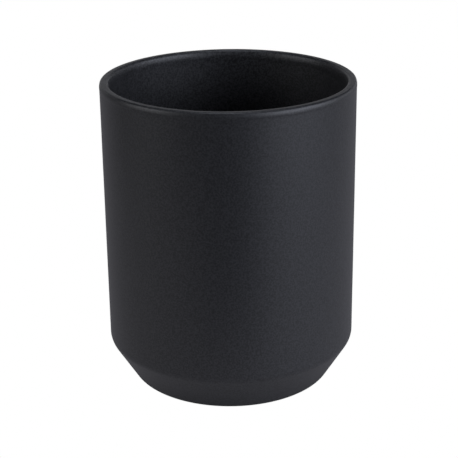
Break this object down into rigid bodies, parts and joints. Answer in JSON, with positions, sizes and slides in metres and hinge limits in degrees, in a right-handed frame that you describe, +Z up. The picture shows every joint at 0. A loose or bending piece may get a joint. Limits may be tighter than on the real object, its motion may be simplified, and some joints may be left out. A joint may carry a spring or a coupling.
{
  "type": "candle jar",
  "caption": "Empty straight-sided candle jar with a rounded rim, a bevelled foot and a thick base, coated matte black inside and out.",
  "frame": {"origin": "centre of the standing ring, on the surface that the jar stands on", "axes": "+Z up along the jar's axis, out of its mouth; the jar is round, so +X and +Y are any two directions at right angles across it"},
  "size_m": [0.08, 0.08, 0.0983],
  "materials": {
    "clear_glass": "clear soda-lime glass, fire-polished, bare only under the base",
    "inside_lacquer": "sprayed matte black lacquer with a fine sandy grain",
    "outside_lacquer": "sprayed matte black lacquer with a fine sandy grain and a low satin sheen"
  },
  "bodies": {
    "root": {"glass_jar": "clear_glass", "inside_coat": "inside_lacquer", "outside_coat": "outside_lacquer"}
  },
  "joints": []
}
